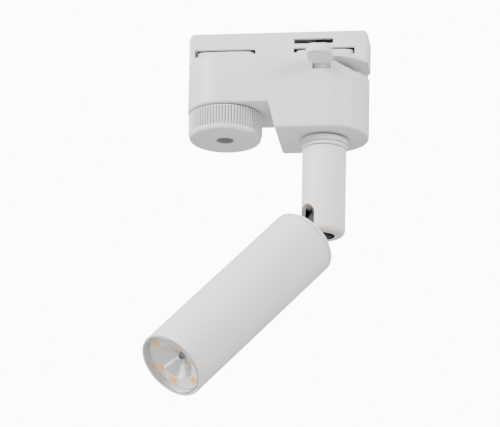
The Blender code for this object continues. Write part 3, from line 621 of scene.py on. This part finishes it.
def make_knob():
    """The hand wheel: rounded ribs that run out in a soft lower edge, with shade painted into the groove
    bottoms and the screw recess.
    """
    steps = KNOB_RIBS * 8
    top = KNOB_HIGH[2]
    bottom = KNOB_LOW[2]
    levels = [
        (top, -0.5, 0.0),
        (top - 0.35 * MM, 0.0, 1.0),
        (bottom + 3.0 * MM, 0.0, 1.0),
        (bottom + 2.6 * MM, -0.08, 0.7),
        (bottom + 2.3 * MM, -0.3, 0.2),
        (bottom + 2.1 * MM, -0.42, 0.0),
        (bottom + 1.3 * MM, -0.45, 0.0),
        (bottom + 0.8 * MM, -0.6, 0.0),
        (bottom + 0.35 * MM, -1.0, 0.0),
        (bottom + 0.1 * MM, -1.5, 0.0),
        (bottom, -2.1, 0.0),
    ]
    work = bmesh.new()
    rings = []
    for height, shrink, depth in levels:
        ring = []
        for i in range(steps):
            turn = 2 * math.pi * i / steps
            wave = 0.5 - 0.5 * math.cos(turn * KNOB_RIBS)
            groove = KNOB_GROOVE_DEPTH * depth * wave**1.2
            radius = KNOB_RADIUS + shrink * MM - groove
            ring.append(work.verts.new((radius * math.cos(turn), radius * math.sin(turn), height)))
        rings.append(ring)
    for upper, lower in zip(rings, rings[1:]):
        for i in range(steps):
            k = (i + 1) % steps
            face = work.faces.new((upper[i], upper[k], lower[k], lower[i]))
            # Groove bottoms in the ribbed band take the darker grey: painted shade in the grooves.
            groove_shade_row = upper is not rings[0] and lower[0].co.z > bottom + 2.5 * MM
            face.material_index = int(groove_shade_row and i % 8 in (2, 3, 4, 5))
    work.faces.new(rings[0])
    work.faces.new(list(reversed(rings[-1])))
    knob = to_object("knob_wheel", work, ADAPTER)
    knob.data.materials.append(GROOVE_SHADE)
    web_low = bottom + 5.2 * MM
    web_top = bottom + 7.2 * MM
    recess = turned(
        "recess",
        [
            (0.0, web_low),
            (SCREW_RECESS_RADIUS, web_low),
            (SCREW_RECESS_RADIUS, bottom + 0.35 * MM),
            (SCREW_RECESS_RADIUS + 0.35 * MM, bottom - 0.001 * MM),
            (SCREW_RECESS_RADIUS + 0.35 * MM, bottom - MM),
            (0.0, bottom - MM),
        ],
        closed=False,
    )
    cut(knob, recess)
    cut(knob, disc("socket", SHAFT_HOLE_RADIUS, web_top, top + MM))
    cut(knob, disc("hole", 1.5 * MM, web_low - MM, web_top + MM))
    # The screw recess walls take the darker grey: painted shade in the recess.
    paint_shade_inside(knob, SCREW_RECESS_RADIUS + 0.05 * MM, GROOVE_SHADE)
    place(knob, KNOB_SPACE, "lock_knob", ["lock_knob"], "adapter_white")


def make_lever():
    """The finger lever: paddle, thin arm over the tooth, thick root, ring and drum."""
    top = LEVER_HIGH[2]
    low = LEVER_LOW[2]
    arm_low = top - ARM_THICKNESS
    outline = round_box(-HALF_PADDLE, HALF_PADDLE, -LEVER_REACH, -PADDLE_START, 3.8 * MM, 13)
    paddle = prism("finger_lever", outline, low, top, ADAPTER)
    soften(paddle, 0.7 * MM, 5)
    arm = box("arm", (-HALF_ARM, -23 * MM, arm_low), (HALF_ARM, -8 * MM, top - 0.02 * MM))
    join(paddle, arm)
    root = box("root", (-HALF_ARM, -14.8 * MM, low), (HALF_ARM, -8.6 * MM, top - 0.03 * MM))
    join(paddle, root)
    join(paddle, disc("hub", LEVER_HUB_RADIUS, arm_low, top))
    join(paddle, disc("drum", LEVER_DRUM_RADIUS, low - 1.3 * MM, arm_low + 0.01 * MM))
    cut(paddle, disc("hole", 6.1 * MM, arm_low - MM, top + MM))
    place(paddle, ROTOR_SPACE, "contact_rotor", ["contact_lever"], "adapter_white")


def make_cam(name, space, body, bore, replaced):
    """A nylon plate with softly bowed sides, on its shaft."""
    steps = 24
    bow = []
    for i in range(steps + 1):
        t = 2 * i / steps - 1
        x = CAM_REACH * math.sin(t * math.pi / 2)
        bow.append((x, CAM_HALF_WIDTH - CAM_BOW * abs(t) ** 3.2))
    outline = [(x, -y) for x, y in bow] + [(x, y) for x, y in reversed(bow)]
    cam = prism(name, outline, CAM_LOW, CAM_LOW + CAM_THICKNESS, CAM)
    soften(cam, 0.35 * MM, 4, 30.0)
    cut(cam, disc("bore", bore, CAM_LOW - MM, CAM_LOW + 2 * CAM_THICKNESS))
    place(cam, space, body, [replaced], "cam_white")


# ---------------------------------------------------------------- stem


def make_bushing():
    seat = BUSHING_LOW[2] + 2.5 * MM
    profile = [
        (6.7 * MM, BUSHING_HIGH[2]),
        (6.7 * MM, seat),
        (11.0 * MM, seat),
        (11.0 * MM, BUSHING_LOW[2]),
        (NIPPLE_CLEARANCE, BUSHING_LOW[2]),
        (NIPPLE_CLEARANCE, BUSHING_HIGH[2]),
    ]
    ring = turned("bushing_ring", rounded(profile, 0.45 * MM), ADAPTER)
    place(ring, ROTOR_SPACE, "adapter", ["swivel_bushing"], "adapter_white")


def make_collar():
    profile = [
        (10.4 * MM, COLLAR_HIGH[2]),
        (10.4 * MM, COLLAR_LOW[2]),
        (NIPPLE_CLEARANCE, COLLAR_LOW[2]),
        (NIPPLE_CLEARANCE, COLLAR_HIGH[2]),
    ]
    ring = turned("collar_ring", rounded(profile, 0.35 * MM), LAMP)
    place(ring, STEM_SPACE, "stem", ["stem_collar"], "lamp_white")


def make_tube():
    """The stem: a tube with a curled-in foot, a side slot and a bore coloured near-black as painted
    shade.
    """
    top = TUBE_HIGH[2]
    low = TUBE_LOW[2]
    inner_top = top - 2.6 * MM
    lip = 5.3 * MM
    foot = []
    for i in range(11):
        turn = math.radians(9 * i)
        radius = STEM_RADIUS - STEM_FOOT_ROUND + STEM_FOOT_ROUND * math.cos(turn)
        foot.append((radius, low + STEM_FOOT_ROUND - STEM_FOOT_ROUND * math.sin(turn)))
    profile = [(STEM_RADIUS - 0.4 * MM, top), (STEM_RADIUS - 0.1 * MM, top - 0.12 * MM)]
    profile += [(STEM_RADIUS, top - 0.45 * MM)]
    profile += foot
    profile += [(lip + 0.15 * MM, low), (lip, low + 0.15 * MM), (lip, low + 0.4 * MM)]
    profile += [(STEM_BORE, low + 2.4 * MM), (STEM_BORE, inner_top)]
    profile += [(NIPPLE_CLEARANCE, inner_top), (NIPPLE_CLEARANCE, top)]
    tube = turned("stem_sleeve", profile, LAMP)
    half = STEM_SLOT_HALF
    crown = low + STEM_SLOT_HEIGHT - half
    outline = [(-half, low - half), (half, low - half)] + arc(0, crown, half, 0, 180, 33)
    slot = prism("slot", outline, 0.0, 20 * MM, upright=False)
    slot.data.transform(Matrix.Rotation(math.radians(90), 4, "Z"))
    cut(tube, slot)
    # Faces inside the bore take the near-black: painted shade in the bore.
    paint_shade_inside(tube, STEM_BORE + 0.05 * MM, DARK_PLASTIC_AND_SHADE)
    place(tube, STEM_SPACE, "stem", ["stem_tube"], "lamp_white")


# ---------------------------------------------------------------- head


def make_knuckle():
    """The eye in the fork, and the post and stud that carry the head, all near-black as painted shade in
    the fork's channel.
    """
    half = KNUCKLE_HALF
    # Eye and post take the near-black: painted shade for the dark channel in the fork.
    eye = turned(
        "knuckle_eye",
        rounded(
            [(KNUCKLE_RADIUS, half), (KNUCKLE_RADIUS, -half), (1.8 * MM, -half), (1.8 * MM, half)],
            0.5 * MM,
        ),
        DARK_PLASTIC_AND_SHADE,
    )
    eye.data.transform(Matrix.Rotation(math.radians(90), 4, "X"))
    post = disc("knuckle_post", POST_RADIUS, -15.7 * MM, -8.8 * MM, DARK_PLASTIC_AND_SHADE)
    join(post, box("web", (-half, -half, -9.4 * MM), (half, half, -6.9 * MM)))
    join(post, disc("stud", STUD_RADIUS, -23.0 * MM, -15.0 * MM))
    place(eye, HEAD_SPACE, "head", ["head_knuckle"], "chrome")
    place(post, HEAD_SPACE, "head", (), "chrome")


def make_cap():
    back = -HEAD_START
    seam = back - CAP_THICKNESS
    edge = 0.55 * MM
    rim = [
        (HEAD_RADIUS - edge + edge * math.sin(t), back - edge + edge * math.cos(t))
        for t in [math.radians(15 * i) for i in range(7)]
    ]
    profile = rim + [
        (HEAD_RADIUS, seam + 0.12 * MM),
        (HEAD_RADIUS - 0.12 * MM, seam),
        (SPIGOT_RADIUS, seam),
        (SPIGOT_RADIUS, seam - SPIGOT_LENGTH),
        (SPIGOT_BORE, seam - SPIGOT_LENGTH),
        (SPIGOT_BORE, seam),
        (STUD_HOLE_RADIUS, seam),
        (STUD_HOLE_RADIUS, back),
    ]
    cap = turned("back_cap", profile, LAMP, 160)
    place(cap, HEAD_SPACE, "head", ["rear_cap"], "lamp_white")


def make_barrel():
    seam = -HEAD_START - CAP_THICKNESS - 0.3 * MM
    front = -HEAD_START - HEAD_LENGTH
    lip = 0.3 * MM
    profile = [
        (HEAD_RADIUS - 0.15 * MM, seam),
        (HEAD_RADIUS, seam - 0.15 * MM),
        (HEAD_RADIUS, front + lip),
        (HEAD_RADIUS - 0.1 * MM, front + 0.1 * MM),
        (HEAD_RADIUS - lip, front),
        (HEAD_BORE + 0.25 * MM, front),
        (HEAD_BORE + 0.05 * MM, front + 0.12 * MM),
        (HEAD_BORE, front + lip),
        (HEAD_BORE, seam),
    ]
    barrel = turned("barrel_sleeve", profile, LAMP, 192)
    place(barrel, HEAD_SPACE, "head", ["head_barrel"], "lamp_white")


def make_light_engine():
    """The lens plate with its bowl, the reflecting liner, three ridges and the clip ring."""
    front = -HEAD_START - LENS_FRONT
    plate = LENS_THICKNESS
    outer = HEAD_BORE - 0.3 * MM
    floor = front + LENS_BOWL_DEPTH
    steps = [i / 12 for i in range(13)]
    fall = [(6.0 * MM * t, LENS_BOWL_DEPTH * t**1.3) for t in steps]
    bowl = [(LENS_BOWL_RADIUS - inward, front + rise) for inward, rise in fall]
    rim = LENS_BOWL_RADIUS + 0.4 * MM
    back_bowl = [(rim - inward, front + plate + rise) for inward, rise in fall]
    profile = [(outer, front + plate), (outer, front + 0.3 * MM), (outer - 0.5 * MM, front)]
    profile += [(13.3 * MM, front), (13.1 * MM, front - 0.25 * MM), (9.4 * MM, front - 0.25 * MM)]
    profile += [(9.2 * MM, front)]
    profile += bowl
    profile += [(1.8 * MM, floor), (1.8 * MM, floor + plate)]
    profile += list(reversed(back_bowl))
    lens = turned("lens_body", profile, LENS, 128)
    place(lens, HEAD_SPACE, "head", ["lens"], "lens_clear")

    liner_low = front + plate + 0.2 * MM
    liner_top = floor + plate + 0.15 * MM
    liner = turned(
        "bowl_liner",
        [
            (8.95 * MM, liner_low + MM),
            (3.2 * MM, liner_top),
            (2.2 * MM, liner_top),
            (2.2 * MM, liner_top + 0.25 * MM),
            (3.3 * MM, liner_top + 0.25 * MM),
            (9.05 * MM, liner_low + 1.1 * MM),
        ],
        REFLECTOR,
        128,
    )
    place(liner, HEAD_SPACE, "head", (), "aluminium")
    for number, radius in enumerate(LENS_RIDGE_RADII):
        bpy.ops.mesh.primitive_torus_add(
            major_radius=radius, minor_radius=0.14 * MM, major_segments=96, minor_segments=10
        )
        ridge = bpy.context.object
        ridge.name = f"lens_ridge_{number + 1}"
        ridge.data.materials.append(LENS)
        place(ridge, HEAD_SPACE @ Matrix.Translation((0, 0, front)), "head", (), "lens_clear")

    ring_profile = [
        (outer, front - 0.3 * MM),
        (outer, front - 0.9 * MM),
        (CLIP_RING_INNER, front - 0.9 * MM),
        (CLIP_RING_INNER, front - 0.3 * MM),
    ]
    ring = turned("lens_clip_ring", rounded(ring_profile, 0.25 * MM), ALUMINIUM, 128)
    place(ring, HEAD_SPACE, "head", ["lens_ring"], "zinc_steel")


def finish_cad_nodes():
    """Every CAD node that stays takes its record slot's material, save those given painted shade or a
    painted sheen.
    """
    for entry in frame["record"]["subparts"]:
        node = frame["nodes"][entry["node"]]
        material = SLOT_MATERIALS[entry["material_slot"]]
        node.data.materials.clear()
        # Nodes in shadowed hollows take near-black: painted shade.
        if entry["node"] in SHADE_DARKENED_NODES:
            material = DARK_PLASTIC_AND_SHADE
        # The fork takes the near-white: painted sheen in place of its plate's reflection.
        if entry["node"] in SHEEN_WHITE_NODES:
            material = PAINTED_SHEEN_PLATE
        node.data.materials.append(material)


# ---------------------------------------------------------------- stage

FLOOR_SIZE = 60.0
FLOOR_LEVEL = -2.4
SKY_STRENGTH = 1.1
BACKDROP_STRENGTH = 12.0
CAMERA_PLACE = (0.18098, -1.49749, -0.62656)
CAMERA_AZIMUTH_DEG = 7.36
CAMERA_RISE_DEG = 19.70
CAMERA_ROLL_DEG = 1.31
CAMERA_LENS_MM = 252.45


def make_stage():
    """A floor far below, a white sky, grey under the horizon, and a backdrop only the camera sees."""
    bpy.ops.mesh.primitive_plane_add(size=FLOOR_SIZE, location=(0, 0, FLOOR_LEVEL))
    floor = bpy.context.object
    floor.name = "floor"
    floor.data.materials.append(shader_material("floor_pale", (0.60, 0.61, 0.62), 0.8)[0])

    world = bpy.data.worlds.new("studio")
    bpy.context.scene.world = world
    world.use_nodes = True
    tree = world.node_tree
    sky = tree.nodes["Background"]
    place_node = tree.nodes.new("ShaderNodeTexCoord")
    split = tree.nodes.new("ShaderNodeSeparateXYZ")
    ramp = tree.nodes.new("ShaderNodeValToRGB")
    ramp.color_ramp.elements[0].position = 0.0
    ramp.color_ramp.elements[0].color = (0.30, 0.31, 0.33, 1.0)
    ramp.color_ramp.elements[1].position = 0.04
    ramp.color_ramp.elements[1].color = (1.0, 1.0, 1.0, 1.0)
    tree.links.new(place_node.outputs["Generated"], split.inputs["Vector"])
    tree.links.new(split.outputs["Z"], ramp.inputs["Fac"])
    tree.links.new(ramp.outputs["Color"], sky.inputs["Color"])
    sky.inputs["Strength"].default_value = SKY_STRENGTH
    backdrop = tree.nodes.new("ShaderNodeBackground")
    backdrop.inputs["Color"].default_value = (1.0, 1.0, 1.0, 1.0)
    backdrop.inputs["Strength"].default_value = BACKDROP_STRENGTH
    path = tree.nodes.new("ShaderNodeLightPath")
    mix = tree.nodes.new("ShaderNodeMixShader")
    tree.links.new(path.outputs["Is Camera Ray"], mix.inputs["Fac"])
    tree.links.new(sky.outputs["Background"], mix.inputs[1])
    tree.links.new(backdrop.outputs["Background"], mix.inputs[2])
    tree.links.new(mix.outputs["Shader"], tree.nodes["World Output"].inputs["Surface"])


def add_light(name, location, target, size, power, colour=(1, 1, 1)):
    data = bpy.data.lights.new(name, "AREA")
    data.size = size
    data.energy = power
    data.color = colour
    light = bpy.data.objects.new(name, data)
    bpy.context.scene.collection.objects.link(light)
    light.location = location
    light.rotation_euler = (Vector(target) - Vector(location)).to_track_quat("-Z", "Y").to_euler()


def make_lights():
    middle = (0.0, 0.0, -0.08)
    add_light("key", (-1.2, -0.8, 0.5), middle, 0.45, 38.0, (1.0, 0.985, 0.97))
    add_light("fill", (1.1, -0.8, 0.3), middle, 0.45, 17.0)
    lens_target = HEAD_SPACE @ Vector((0, 0, -HEAD_START - HEAD_LENGTH))
    add_light("lens_glint_left", (-1.0, -1.1, -0.9), lens_target, 0.22, 2.2)
    add_light("lens_glint_low", (0.1, -1.3, -1.3), lens_target, 0.16, 1.2)


def make_camera():
    """A long lens, a little to the right of the front and well below the lamp."""
    azimuth = math.radians(CAMERA_AZIMUTH_DEG)
    elevation = math.radians(CAMERA_RISE_DEG)
    roll = math.radians(CAMERA_ROLL_DEG)
    right = Vector((math.cos(azimuth), math.sin(azimuth), 0))
    level = Vector((-math.sin(azimuth), math.cos(azimuth), 0))
    forward = level * math.cos(elevation) + Vector((0, 0, math.sin(elevation)))
    up = right.cross(forward)
    rolled_right = right * math.cos(roll) + up * math.sin(roll)
    rolled_up = up * math.cos(roll) - right * math.sin(roll)
    data = bpy.data.cameras.new("camera")
    data.lens = CAMERA_LENS_MM
    data.sensor_width = 36.0
    data.clip_end = 20.0
    camera = bpy.data.objects.new("camera", data)
    bpy.context.scene.collection.objects.link(camera)
    turn = Matrix((rolled_right, rolled_up, -forward)).transposed().to_4x4()
    camera.matrix_world = Matrix.Translation(CAMERA_PLACE) @ turn
    bpy.context.scene.camera = camera


make_camera()
finish_cad_nodes()
make_adapter()
make_marks()
make_knob()
make_lever()
make_cam("lock_plate", KNOB_SPACE, "lock_knob", 3.9 * MM, "lock_cam")
make_cam("rotor_plate", ROTOR_SPACE, "contact_rotor", 5.1 * MM, "rotor_cam")
make_bushing()
make_collar()
make_tube()
make_knuckle()
make_cap()
make_barrel()
make_light_engine()
make_stage()
make_lights()
